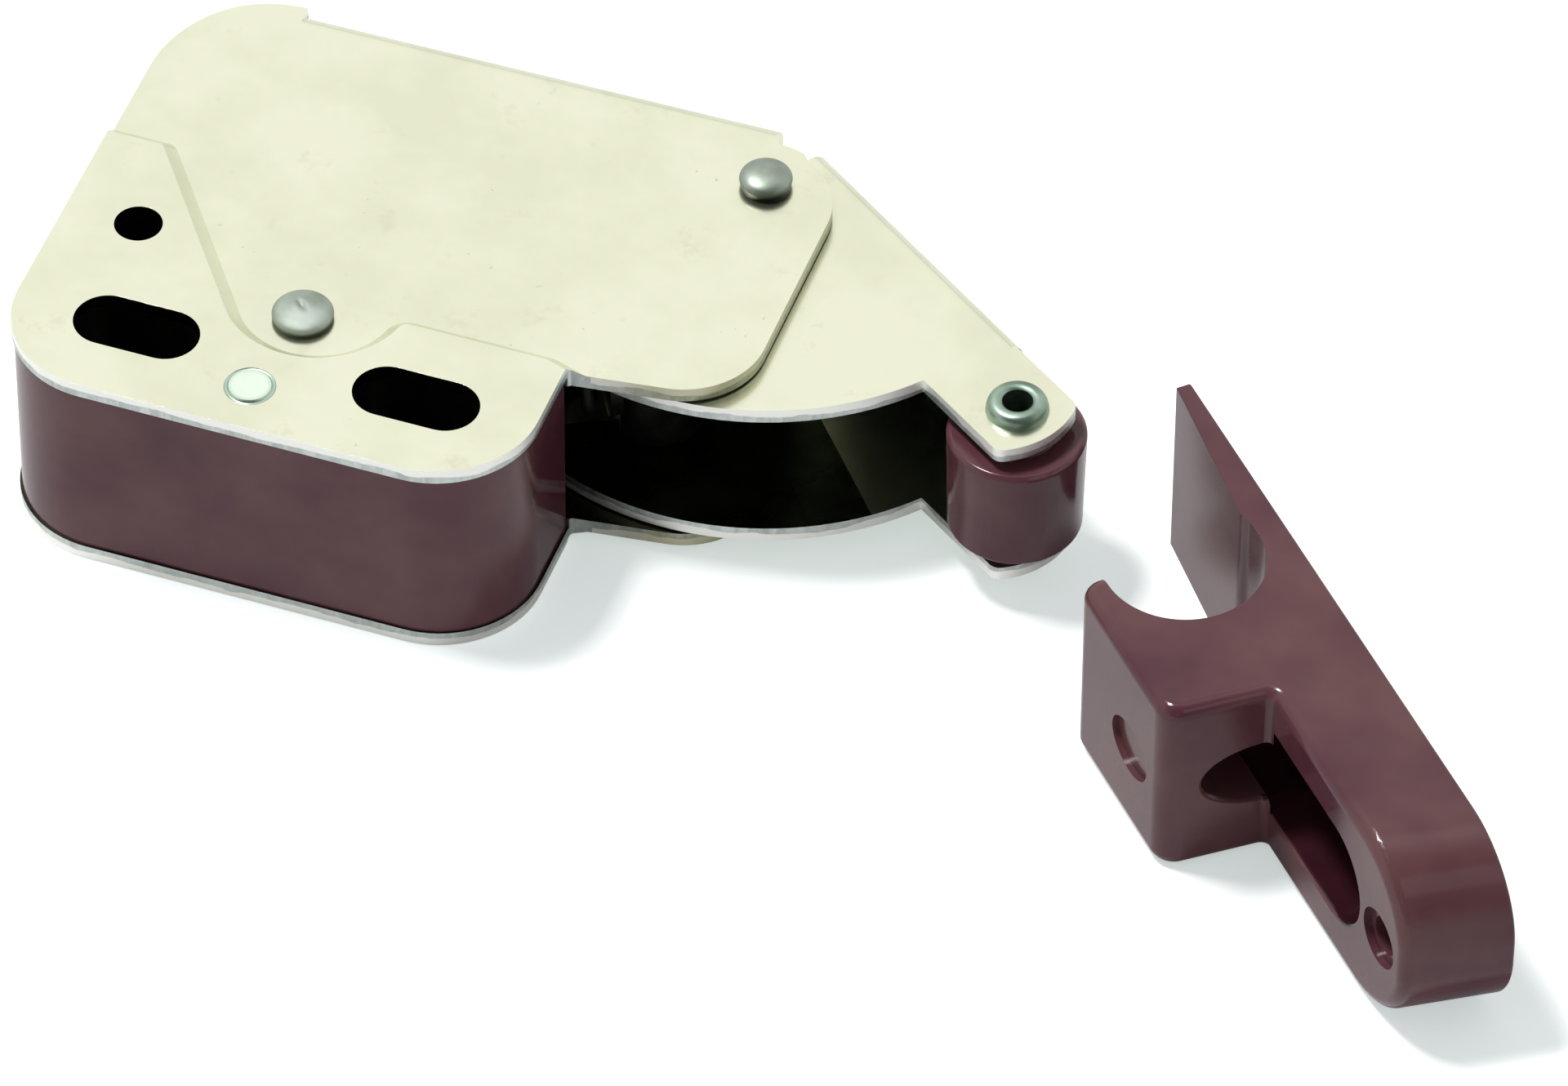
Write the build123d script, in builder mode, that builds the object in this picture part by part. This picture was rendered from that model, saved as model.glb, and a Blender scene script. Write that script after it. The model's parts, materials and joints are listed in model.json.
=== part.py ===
from build123d import *
from math import atan2, cos, degrees, hypot, radians, sin
import os

os.makedirs("parts", exist_ok=True)

# Roller catch with its striker, in millimetres. A steel casing is folded from one sheet and clamped on a
# moulded spacer. A channel-shaped arm swings in it and carries a roller, and a spring strut snaps the arm
# over centre. X runs along the casing's folded back, Y towards it, Z up. The origin is the axis of the
# round fixing hole, at the lower clamp face, on which the catch lies.

# Sheet and fits
sheet = 1.0
running_fit = 0.05
rivet_fit = 0.02
side_gap = 0.15
spacer_inset = 0.15

# Casing
catch_height = 15.0
joggle_depth = 0.75
joggle_land = 0.6
joggle_slope = 0.9
casing_bend = 1.5
clamp_left = -4.8
clamp_right = 28.9
clamp_front = -14.2
clamp_corner = 6.5
casing_right = 39.4
casing_back = 21.3
back_left_corner = 7.4
back_right_edge = 20.2
nose_corner = 5.2
nose_front = -1.2
shoulder_front = -2.6
shoulder_corner = 0.3
web_right = 33.9

# Joggle line: the step in the cheek between the clamping zone and the nose. It starts at the left edge,
# passes in front of the strut pin, from which its middle corners are set out, and ends at the shoulder
joggle_start = 7.9
joggle_run = 4.1
joggle_valley = (2.4, -9.4)
joggle_rise = (5.5, 1.8)
joggle_shelf_end = 1.18
joggle_fall = 0.17
joggle_bend = 1.2
joggle_valley_bend = 5.0
joggle_shelf_bend = 1.5

# Fixing holes
round_hole_diameter = 3.0
slot_length = 8.0
slot_width = 4.2
slot_spacing = 18.1
slot_row = -8.4
first_slot = 3.2

# Pins
spacer_rivet_spot = (11.5, -10.8)
spacer_rivet_diameter = 3.2
rivet_ring = 0.12
ring_bevel_share = 0.8
strut_spot = (12.1, -3.5)
strut_pin_diameter = 3.0
strut_head_diameter = 3.8
strut_head_height = 1.0
strut_head_side = 0.5
dimple_radius = 0.5
dimple_depth = 0.15
arm_spot = (34.7, 16.9)
arm_pin_diameter = 2.4
arm_head_diameter = 3.3
arm_head_height = 1.25
arm_head_side = 0.35
sleeve_diameter = 5.0
tail_height = 0.7
tail_side = 0.1

# Arm, in its own axes: x along its folded back from the pivot, y out towards that back
arm_back_angle = -34.6
arm_bend = 1.2
arm_back = 4.8
arm_front = -1.5
arm_heel = -1.24
arm_hub = 3.1
arm_sweep = 18.45
arm_flank_overrun = 1.0
arm_tip_round = 1.5
arm_end = 26.65
arm_end_front = 25.8
arm_end_back = 25.5
arm_end_round = 0.8
roller_reach = 23.68
roller_gap = 0.13
arm_swing = 60.0
stop_gap = 0.1
stop_relief = 3.4

# Roller and its tubular axle
roller_height = 7.7
roller_lower_diameter = 8.3
roller_upper_diameter = 8.6
roller_rim = 0.25
roller_hub_diameter = 5.0
axle_diameter = 3.0
axle_bore = 1.9
axle_flange_diameter = 3.9
axle_curl_height = 0.85
axle_curl_lip = 0.15
axle_curl_top = 2.6
axle_curl_round = 0.5

# Over-centre strut
trunnion_reach = 11.0
trunnion_diameter = 5.6
trunnion_flat_offset = 2.4
journal_diameter = 3.0
strut_barrel_diameter = 5.6
strut_rod_diameter = 2.4
strut_rod_end = 24.2
rod_end_chamfer = 0.4
rod_slack = 0.4
collar_diameter = 6.2
collar_start = 3.2
collar_thickness = 1.2
seat_diameter = 6.0
seat_thickness = 0.8
spring_wire = 0.9
spring_diameter = 5.8
spring_turns = 7.0
strut_relief = 3.7

# Striker, in its own axes: x from its screw end to its mouth, y from the door face, z up
striker_spot = (95.2, -22.1)
striker_angle = 133.7
striker_length = 44.5
striker_height = 13.5
bar_depth = 6.75
bar_end_skew = 1.4
bar_end_round = 6.0
block_depth = 13.4
block_front = 19.3
block_skew = 0.7
block_corner = 1.6
block_root = 0.5
mouth_radius = 5.0
mouth_reach = 31.3
mouth_floor = 1.85
lip_tip = 1.0
lip_root = 2.1
lip_root_reach = 33.2
lip_step_reach = 32.5
lip_soften = 1.5
hook_reach = 32.2
hook_corner = 1.3
striker_edge = 0.9
door_edge = 0.2
rim_round = 0.3
rim_margin = 0.02
screw_slot_width = 3.6
head_slot_width = 6.8
head_slot_start = 7.2
head_slot_end = 24.6
head_slot_floor = 3.0
pocket_depth = 4.1
pocket_width = 4.6
peg_hole_reach = 4.5
peg_hole_diameter = 2.5
peg_recess_diameter = 3.9
peg_recess_depth = 0.45
mark_reach = 24.6
mark_length = 4.7
mark_width = 3.7
mark_drop = 0.4
mark_depth = 0.4

# Levels that follow from the sizes above
mid_height = catch_height / 2
clamp_inner = catch_height - sheet
nose_outer = catch_height - joggle_depth
nose_inner = nose_outer - sheet
nose_width = nose_outer - joggle_depth
arm_width = nose_width - 2 * sheet - 2 * side_gap
arm_inner_width = arm_width - 2 * sheet
arm_level = mid_height + arm_width / 2
arm_inner_level = arm_level - sheet
mid_plane = Plane.XY.offset(mid_height)

# Directions in plan of the over-centre strut, at rest with the arm swung open
dead_centre = degrees(atan2(strut_spot[1] - arm_spot[1], strut_spot[0] - arm_spot[0]))
trunnion_angle = dead_centre + arm_swing / 2
trunnion_spot = (
    arm_spot[0] + trunnion_reach * cos(radians(trunnion_angle)),
    arm_spot[1] + trunnion_reach * sin(radians(trunnion_angle)),
)
strut_length = hypot(trunnion_spot[0] - strut_spot[0], trunnion_spot[1] - strut_spot[1])
strut_angle = degrees(atan2(trunnion_spot[1] - strut_spot[1], trunnion_spot[0] - strut_spot[0]))
strut_swing = 2 * (degrees(atan2(arm_spot[1] - strut_spot[1], arm_spot[0] - strut_spot[0])) - strut_angle)
print("strut swing", round(strut_swing, 3), "for an arm swing of", -arm_swing)
print("trunnion at", round(trunnion_spot[0], 3), round(trunnion_spot[1], 3))


def turned_plane(spot, angle, level=0.0):
    """A level plane at a spot in plan, with its x axis turned from +X by an angle."""
    way = (cos(radians(angle)), sin(radians(angle)), 0)
    return Plane(origin=(spot[0], spot[1], level), x_dir=way, z_dir=(0, 0, 1))


arm_plane = turned_plane(arm_spot, arm_back_angle)
strut_plane = turned_plane(strut_spot, strut_angle)
striker_plane = turned_plane(striker_spot, striker_angle)
roller_offset = arm_back - (arm_back - arm_front) / 2
roller_point = arm_plane.from_local_coords(Vector(roller_reach, roller_offset, 0))
roller_spot = (roller_point.X, roller_point.Y)
heel_point = arm_plane.from_local_coords(Vector(arm_heel, arm_back - sheet, 0))
print("roller at", round(roller_spot[0], 3), round(roller_spot[1], 3))


def casing_plan():
    """The whole cheek of the casing, seen from above."""
    corners = (
        (clamp_left, clamp_front),
        (clamp_right, clamp_front),
        (clamp_right, shoulder_front),
        (casing_right, nose_front),
        (casing_right, back_right_edge),
        (web_right, back_right_edge),
        (web_right, casing_back),
        (clamp_left, casing_back),
    )
    rounds = (
        clamp_corner,
        clamp_corner,
        shoulder_corner,
        nose_corner,
        nose_corner,
        0,
        0,
        back_left_corner,
    )
    with BuildSketch() as plan:
        with BuildLine():
            FilletPolyline(corners, radius=rounds, close=True)
        make_face()
    return plan.sketch


def clamp_zone(back_off=0.0):
    """The clamping zone in front of the joggle line, cut back by back_off, with its other sides overrun."""
    margin = clamp_corner / 2
    shelf = strut_spot[1] + joggle_rise[1]
    corners = (
        (clamp_left - margin, joggle_start),
        (clamp_left + joggle_run, joggle_start),
        (strut_spot[0] + joggle_valley[0], strut_spot[1] + joggle_valley[1]),
        (strut_spot[0] + joggle_rise[0], shelf),
        (clamp_right - joggle_shelf_end, shelf),
        (clamp_right + margin, shoulder_front - joggle_fall * margin),
        (clamp_right + margin, clamp_front - margin),
        (clamp_left - margin, clamp_front - margin),
    )
    rounds = (0, joggle_bend, joggle_valley_bend, joggle_shelf_bend, joggle_shelf_bend, 0, 0, 0)
    with BuildSketch() as zone:
        with BuildLine():
            FilletPolyline(corners, radius=rounds, close=True)
        make_face()
        if back_off > 0:
            offset(amount=-back_off)
    return zone.sketch


def clamp_plan(back_off=0.0):
    """The clamping zone, cut back by back_off, within the cheek's outline."""
    with BuildSketch() as plan:
        add(clamp_zone(back_off))
        add(casing_plan(), mode=Mode.INTERSECT)
    return plan.sketch


def fixing_holes():
    """The holes that go through the clamp plates and the spacer alike."""
    with BuildSketch() as holes:
        Circle(round_hole_diameter / 2)
        with Locations((first_slot, slot_row), (first_slot + slot_spacing, slot_row)):
            SlotOverall(slot_length, slot_width)
        with Locations(spacer_rivet_spot):
            Circle(spacer_rivet_diameter / 2)
    return holes.sketch


def folded_section(width, bend):
    """Section of a folded edge: the web's outer face is x = 0 and each cheek ends at x = -bend."""
    reach = 2 * bend
    with BuildSketch() as section:
        with Locations((-reach, 0)):
            RectangleRounded(2 * reach, width, bend)
            RectangleRounded(2 * (reach - sheet), width - 2 * sheet, bend - sheet, mode=Mode.SUBTRACT)
        with Locations((-bend, 0)):
            Rectangle(2 * reach, width, align=(Align.MAX, Align.CENTER), mode=Mode.SUBTRACT)
    return section.sketch


def domed_head(diameter, height, side_height):
    """Half section of a domed rivet head on an upright side, for turning about the y axis."""
    with BuildSketch() as section:
        with BuildLine():
            foot = Line((0, 0), (diameter / 2, 0))
            side = Line(foot @ 1, (diameter / 2, side_height))
            TangentArc((0, height), side @ 1, tangent=(1, 0))
            Line((0, height), (0, 0))
        make_face()
    return section.sketch


# Casing: two cheeks and the web between them, one folded sheet
left_of_fold = clamp_left + back_left_corner
web_length = web_right - left_of_fold
web_plane = Plane(origin=(left_of_fold, casing_back, mid_height), x_dir=(0, 1, 0), z_dir=(1, 0, 0))
with BuildPart() as casing:
    with BuildSketch(Plane.XY.offset(clamp_inner)):
        add(clamp_zone())
    extrude(amount=nose_outer - clamp_inner)
    with BuildSketch(Plane.XY.offset(nose_outer)):
        add(clamp_zone())
    with BuildSketch(Plane.XY.offset(catch_height)):
        add(clamp_zone(joggle_slope))
    loft(ruled=True)
    with BuildSketch(Plane.XY.offset(clamp_inner)):
        add(casing_plan())
    extrude(amount=sheet, mode=Mode.INTERSECT)
    with BuildSketch(Plane.XY.offset(nose_inner)):
        add(casing_plan())
        add(clamp_plan(joggle_land), mode=Mode.SUBTRACT)
        with Locations((left_of_fold, casing_back - casing_bend)):
            Rectangle(web_length, 2 * casing_bend, align=Align.MIN, mode=Mode.SUBTRACT)
    extrude(amount=sheet)
    mirror(about=mid_plane)
    with BuildSketch(web_plane):
        add(folded_section(nose_width, casing_bend))
    extrude(amount=web_length)
    with BuildSketch(mid_plane):
        with Locations((web_right, casing_back)):
            stop_length = heel_point.X - stop_gap - web_right
            Rectangle(stop_length, sheet, align=(Align.MIN, Align.MAX))
    extrude(amount=nose_width / 2 - stop_relief, both=True)
    with BuildSketch():
        add(fixing_holes())
        with Locations(strut_spot):
            Circle(strut_pin_diameter / 2)
        with Locations(arm_spot):
            Circle(arm_pin_diameter / 2)
    extrude(amount=catch_height, mode=Mode.SUBTRACT)
casing.part.label = "casing"
export_step(casing.part, "parts/casing.step")

# Spacer: moulded block between the clamp plates, hollowed where the strut lies
with BuildPart() as spacer:
    with BuildSketch(Plane.XY.offset(sheet)):
        add(clamp_plan(joggle_land + spacer_inset))
        with BuildSketch(mode=Mode.INTERSECT):
            add(casing_plan())
            offset(amount=-spacer_inset)
    extrude(amount=clamp_inner - sheet)
    with BuildSketch():
        add(fixing_holes())
    extrude(amount=catch_height, mode=Mode.SUBTRACT)
    with BuildSketch(turned_plane(strut_spot, strut_angle, mid_height)):
        Rectangle(strut_length, 2 * strut_relief, align=(Align.MIN, Align.CENTER))
    extrude(amount=strut_relief, both=True, mode=Mode.SUBTRACT)
spacer.part.label = "spacer"
export_step(spacer.part, "parts/spacer.step")

# Spacer rivet: flat on both clamp faces, with a fine ring pressed round it
with BuildPart() as spacer_rivet:
    with BuildSketch():
        with Locations(spacer_rivet_spot):
            Circle(spacer_rivet_diameter / 2 - rivet_fit)
    extrude(amount=catch_height)
    with BuildSketch(Plane.XY.offset(catch_height)):
        with Locations(spacer_rivet_spot):
            Circle(spacer_rivet_diameter / 2)
    extrude(amount=rivet_ring)
    chamfer(spacer_rivet.faces().sort_by(Axis.Z)[-1].edges(), rivet_ring * ring_bevel_share)
spacer_rivet.part.label = "spacer_rivet"
export_step(spacer_rivet.part, "parts/spacer_rivet.step")

# Strut pin: the strut turns on it, and its dome has a pressed dimple
with BuildPart() as strut_pin:
    with BuildSketch(Plane.XY.offset(joggle_depth)):
        with Locations(strut_spot):
            Circle(strut_pin_diameter / 2 - rivet_fit)
    extrude(amount=nose_width)
    with BuildSketch(Plane(origin=(*strut_spot, nose_outer), x_dir=(1, 0, 0), z_dir=(0, -1, 0))):
        add(domed_head(strut_head_diameter, strut_head_height, strut_head_side))
    revolve(axis=Axis((*strut_spot, 0), (0, 0, 1)))
    with BuildSketch(Plane(origin=(*strut_spot, joggle_depth), x_dir=(1, 0, 0), z_dir=(0, 1, 0))):
        add(domed_head(strut_head_diameter, tail_height, tail_side))
    revolve(axis=Axis((*strut_spot, 0), (0, 0, 1)))
    with Locations((*strut_spot, nose_outer + strut_head_height + dimple_radius - dimple_depth)):
        Sphere(dimple_radius, mode=Mode.SUBTRACT)
strut_pin.part.label = "strut_pin"
export_step(strut_pin.part, "parts/strut_pin.step")

# Arm pivot pin
with BuildPart() as arm_pin:
    with BuildSketch(Plane.XY.offset(joggle_depth)):
        with Locations(arm_spot):
            Circle(arm_pin_diameter / 2 - rivet_fit)
    extrude(amount=nose_width)
    with BuildSketch(Plane(origin=(*arm_spot, nose_outer), x_dir=(1, 0, 0), z_dir=(0, -1, 0))):
        add(domed_head(arm_head_diameter, arm_head_height, arm_head_side))
    revolve(axis=Axis((*arm_spot, 0), (0, 0, 1)))
    with BuildSketch(Plane(origin=(*arm_spot, joggle_depth), x_dir=(1, 0, 0), z_dir=(0, 1, 0))):
        add(domed_head(arm_head_diameter, tail_height, tail_side))
    revolve(axis=Axis((*arm_spot, 0), (0, 0, 1)))
arm_pin.part.label = "arm_pin"
export_step(arm_pin.part, "parts/arm_pin.step")

# Pivot sleeve: keeps the casing's cheeks apart, and the arm turns on it
with BuildPart() as pivot_sleeve:
    with BuildSketch(Plane.XY.offset(catch_height - nose_inner)):
        with Locations(arm_spot):
            Circle(sleeve_diameter / 2)
            Circle(arm_pin_diameter / 2, mode=Mode.SUBTRACT)
    extrude(amount=nose_width - 2 * sheet)
pivot_sleeve.part.label = "pivot_sleeve"
export_step(pivot_sleeve.part, "parts/pivot_sleeve.step")


def arm_plan():
    """The arm's cheek in its own axes: a sector round the pivot and a straight limb with a bowed end."""
    far = 2 * arm_sweep
    with BuildSketch() as plan:
        Circle(arm_sweep)
        with BuildSketch(mode=Mode.INTERSECT):
            Polygon((-arm_hub, 0), (0, -arm_sweep - arm_flank_overrun), (far, -far), (far, 0), align=None)
        fillet(plan.vertices().sort_by(Axis.Y)[0:1], arm_tip_round)
        Circle(arm_hub)
        with BuildLine():
            limb_front = Line((arm_heel, arm_front), (arm_end_front, arm_front))
            limb_end = ThreePointArc(limb_front @ 1, (arm_end, roller_offset), (arm_end_back, arm_back))
            Polyline(limb_end @ 1, (arm_heel, arm_back), (arm_heel, arm_front))
        make_face()
        fillet(plan.vertices().sort_by(Axis.X)[-2:], arm_end_round)
    return plan.sketch


# Arm: one folded channel
trunnion_in_arm = Vector(
    trunnion_reach * cos(radians(trunnion_angle - arm_back_angle)),
    trunnion_reach * sin(radians(trunnion_angle - arm_back_angle)),
)
arm_web_length = roller_reach - roller_upper_diameter / 2 - roller_gap - arm_heel
with BuildPart() as arm:
    with BuildSketch(arm_plane.offset(arm_inner_level)):
        add(arm_plan())
        with Locations((arm_heel, arm_back - arm_bend)):
            Rectangle(arm_web_length, 2 * arm_bend, align=Align.MIN, mode=Mode.SUBTRACT)
        Circle(sleeve_diameter / 2 + running_fit, mode=Mode.SUBTRACT)
        with Locations(trunnion_in_arm):
            Circle(journal_diameter / 2 + running_fit, mode=Mode.SUBTRACT)
        with Locations((roller_reach, roller_offset)):
            Circle(axle_diameter / 2, mode=Mode.SUBTRACT)
    extrude(amount=sheet)
    mirror(about=mid_plane)
    web_corner = arm_plane.from_local_coords(Vector(arm_heel, arm_back, mid_height))
    with BuildSketch(Plane(origin=web_corner, x_dir=arm_plane.y_dir, z_dir=arm_plane.x_dir)):
        add(folded_section(arm_width, arm_bend))
    extrude(amount=arm_web_length)
arm.part.label = "arm"
export_step(arm.part, "parts/arm.step")

# Roller: moulded with a little draft and a raised hub on each side
roller_base = mid_height - roller_height / 2
roller_top = roller_base + roller_height
hub_reach = arm_inner_width / 2 - running_fit
with BuildPart() as roller:
    with BuildSketch(Plane(origin=(*roller_spot, 0), x_dir=(1, 0, 0), z_dir=(0, -1, 0))):
        with BuildLine():
            Polyline(
                (axle_diameter / 2 + running_fit, mid_height - hub_reach),
                (roller_hub_diameter / 2, mid_height - hub_reach),
                (roller_hub_diameter / 2, roller_base),
                (roller_lower_diameter / 2 - roller_rim, roller_base),
                (roller_lower_diameter / 2, roller_base + roller_rim),
                (roller_upper_diameter / 2, roller_top - roller_rim),
                (roller_upper_diameter / 2 - roller_rim, roller_top),
                (roller_hub_diameter / 2, roller_top),
                (roller_hub_diameter / 2, mid_height + hub_reach),
                (axle_diameter / 2 + running_fit, mid_height + hub_reach),
                close=True,
            )
        make_face()
    revolve(axis=Axis((*roller_spot, 0), (0, 0, 1)))
roller.part.label = "roller"
export_step(roller.part, "parts/roller.step")

# Roller axle: a tubular rivet, its rims curled over on the arm's cheeks
with BuildPart() as roller_axle:
    with BuildSketch(Plane.XY.offset(mid_height)):
        with Locations(roller_spot):
            Circle(axle_diameter / 2 - rivet_fit)
            Circle(axle_bore / 2, mode=Mode.SUBTRACT)
    extrude(amount=arm_width / 2, both=True)
    curl_top = arm_level + axle_curl_height
    with BuildSketch(Plane(origin=(*roller_spot, 0), x_dir=(1, 0, 0), z_dir=(0, -1, 0))):
        with BuildLine():
            bore_side = Line((axle_bore / 2, arm_level), (axle_bore / 2, curl_top - axle_curl_lip))
            lip = RadiusArc(bore_side @ 1, (axle_curl_top / 2, curl_top), axle_curl_round)
            flank = Spline(lip @ 1, (axle_flange_diameter / 2, arm_level), tangents=((1, 0), (0.1, -1)))
            Line(flank @ 1, bore_side @ 0)
        make_face()
    revolve(axis=Axis((*roller_spot, 0), (0, 0, 1)))
    mirror(about=mid_plane)
roller_axle.part.label = "roller_axle"
export_step(roller_axle.part, "parts/roller_axle.step")

# Spring guide: a barrel on the strut pin, a collar and the rod that the spring is threaded on
with BuildPart() as spring_guide:
    with BuildSketch(Plane.XY.offset(catch_height - nose_inner + side_gap / 2)):
        with Locations(strut_spot):
            Circle(strut_barrel_diameter / 2)
    extrude(amount=nose_width - 2 * sheet - side_gap)
    rod_plane = Plane(origin=(*strut_spot, mid_height), x_dir=(0, 0, 1), z_dir=strut_plane.x_dir)
    with BuildSketch(rod_plane):
        Circle(strut_rod_diameter / 2)
    extrude(amount=strut_rod_end)
    with BuildSketch(rod_plane.offset(collar_start)):
        Circle(collar_diameter / 2)
    extrude(amount=collar_thickness)
    with BuildSketch(rod_plane):
        Circle(strut_barrel_diameter / 2)
    extrude(amount=collar_start)
    chamfer(spring_guide.faces().sort_by(Axis(rod_plane.origin, rod_plane.z_dir))[-1].edges(), rod_end_chamfer)
    with BuildSketch():
        with Locations(strut_spot):
            Circle(strut_pin_diameter / 2 + running_fit)
    extrude(amount=catch_height, mode=Mode.SUBTRACT)
spring_guide.part.label = "spring_guide"
export_step(spring_guide.part, "parts/spring_guide.step")

# Trunnion: a cross pin in the arm's cheeks, drilled for the rod, with a flat for the spring's seat
trunnion_plane = turned_plane(trunnion_spot, strut_angle, mid_height)
with BuildPart() as trunnion:
    with BuildSketch(trunnion_plane):
        Circle(trunnion_diameter / 2)
        with Locations((-trunnion_flat_offset, 0)):
            flat_cut = trunnion_diameter
            Rectangle(flat_cut, flat_cut, align=(Align.MAX, Align.CENTER), mode=Mode.SUBTRACT)
    extrude(amount=arm_inner_width / 2 - running_fit, both=True)
    with BuildSketch(trunnion_plane):
        Circle(journal_diameter / 2)
    extrude(amount=arm_width / 2 - running_fit, both=True)
    with BuildSketch(rod_plane):
        Circle(strut_rod_diameter / 2 + rod_slack)
    extrude(amount=2 * strut_length, mode=Mode.SUBTRACT)
trunnion.part.label = "trunnion"
export_step(trunnion.part, "parts/trunnion.step")

# Spring seat: a washer between the spring and the trunnion's flat
seat_face = strut_length - trunnion_flat_offset
with BuildPart() as spring_seat:
    with BuildSketch(rod_plane.offset(seat_face - seat_thickness)):
        Circle(seat_diameter / 2)
        Circle(strut_rod_diameter / 2 + rod_slack, mode=Mode.SUBTRACT)
    extrude(amount=seat_thickness)
spring_seat.part.label = "spring_seat"
export_step(spring_seat.part, "parts/spring_seat.step")

# Toggle spring: open coils between the guide's collar and the seat
coil_start = collar_start + collar_thickness + spring_wire / 2
coil_height = seat_face - seat_thickness - spring_wire / 2 - coil_start
with BuildPart() as toggle_spring:
    with BuildLine() as coil:
        Helix(
            coil_height / spring_turns,
            coil_height,
            (spring_diameter - spring_wire) / 2,
            center=rod_plane.offset(coil_start).origin,
            direction=rod_plane.z_dir,
        )
    with BuildSketch(Plane(origin=coil.line @ 0, z_dir=coil.line % 0)):
        Circle(spring_wire / 2)
    sweep(path=coil.line, is_frenet=True)
toggle_spring.part.label = "toggle_spring"
export_step(toggle_spring.part, "parts/toggle_spring.step")

# Striker: one moulding, with a round mouth between a thin lip and a hooked block, and a screw bar
mouth_middle = mouth_floor + mouth_radius
bar_side_middle = striker_plane.from_local_coords(Vector(0, bar_depth, striker_height / 2))
bar_side_plane = Plane(origin=bar_side_middle, x_dir=striker_plane.x_dir, z_dir=-striker_plane.y_dir)
screw_slot_inset = (head_slot_width - screw_slot_width) / 2
with BuildPart() as striker:
    with BuildSketch(striker_plane):
        with BuildLine():
            bar_end = Polyline((bar_end_skew, bar_depth), (0, 0), (striker_length, 0), (striker_length, lip_tip))
            lip = FilletPolyline(
                bar_end @ 1,
                (lip_root_reach, lip_root),
                (lip_step_reach, mouth_floor),
                (mouth_reach, mouth_floor),
                radius=lip_soften,
            )
            arch = ThreePointArc(
                lip @ 1,
                (mouth_reach - mouth_radius, mouth_middle),
                (mouth_reach, mouth_middle + mouth_radius),
            )
            Polyline(
                arch @ 1,
                (hook_reach, mouth_middle + mouth_radius),
                (hook_reach, block_depth),
                (block_front + block_skew, block_depth),
                (block_front, bar_depth),
                (bar_end_skew, bar_depth),
            )
        make_face()
    extrude(amount=striker_height)
    along_bar = Axis(striker_plane.origin, striker_plane.x_dir)
    from_door = Axis(striker_plane.origin, striker_plane.y_dir)
    outer_corners = striker.edges().filter_by(Axis.Z).sort_by(from_door)[-2:].sort_by(along_bar)
    fillet(outer_corners[0:1], block_corner)
    fillet(outer_corners[1:2], hook_corner)
    root = striker_plane.from_local_coords(Vector(block_front, bar_depth, striker_height / 2))
    fillet(striker.edges().filter_by(Axis.Z).sort_by_distance(root)[0:1], block_root)
    bar_end_face = striker.faces().sort_by(along_bar)[0]
    fillet(bar_end_face.edges().sort_by(Axis.Z)[0:1] + bar_end_face.edges().sort_by(Axis.Z)[-1:], bar_end_round)
    far_side = striker.faces().filter_by(from_door).sort_by(from_door)[-1]
    fillet(far_side.edges().filter_by(Axis.Z, reverse=True), striker_edge)
    fillet(striker.faces().sort_by(from_door)[0].edges(), door_edge)
    with BuildSketch(bar_side_plane):
        with Locations(((head_slot_start + head_slot_end) / 2, 0)):
            SlotOverall(head_slot_end - head_slot_start, head_slot_width)
    extrude(amount=bar_depth - head_slot_floor, mode=Mode.SUBTRACT)
    with BuildSketch(bar_side_plane):
        with Locations(((head_slot_start + head_slot_end) / 2, 0)):
            SlotOverall(head_slot_end - head_slot_start - 2 * screw_slot_inset, screw_slot_width)
        with Locations((peg_hole_reach, 0)):
            Circle(peg_hole_diameter / 2)
    extrude(amount=bar_depth, mode=Mode.SUBTRACT)
    with BuildSketch(bar_side_plane):
        with Locations((peg_hole_reach, 0)):
            Circle(peg_recess_diameter / 2)
    extrude(amount=peg_recess_depth, mode=Mode.SUBTRACT)
    pocket_start = bar_side_plane.from_local_coords(Vector(bar_end_skew, 0, 0))
    with BuildSketch(Plane(origin=pocket_start, x_dir=striker_plane.y_dir, z_dir=striker_plane.x_dir)):
        Ellipse(pocket_depth, pocket_width / 2)
        Rectangle(pocket_depth, pocket_width, align=(Align.MAX, Align.CENTER), mode=Mode.SUBTRACT)
    extrude(amount=head_slot_end - bar_end_skew, mode=Mode.SUBTRACT)
    slot_side = head_slot_width / 2 + rim_margin
    rims = striker.edges().filter_by(Axis.Z, reverse=True)
    rims = rims.filter_by_position(from_door, bar_depth - rim_margin, block_depth)
    rims = rims.filter_by_position(along_bar, head_slot_start - rim_margin, block_front + block_skew / 2)
    rims = rims.filter_by_position(Axis.Z, striker_height / 2 - slot_side, striker_height / 2 + slot_side)
    fillet(rims, rim_round)
    with BuildSketch(bar_side_plane.offset(bar_depth - block_depth)):
        with Locations((mark_reach, -mark_drop)):
            Ellipse(mark_length / 2, mark_width / 2)
    extrude(amount=mark_depth, mode=Mode.SUBTRACT)
striker.part.label = "striker"
export_step(striker.part, "parts/striker.step")
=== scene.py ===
import bmesh
import bpy
import json
import math
import numpy as np
from mathutils import Matrix, Vector

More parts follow.
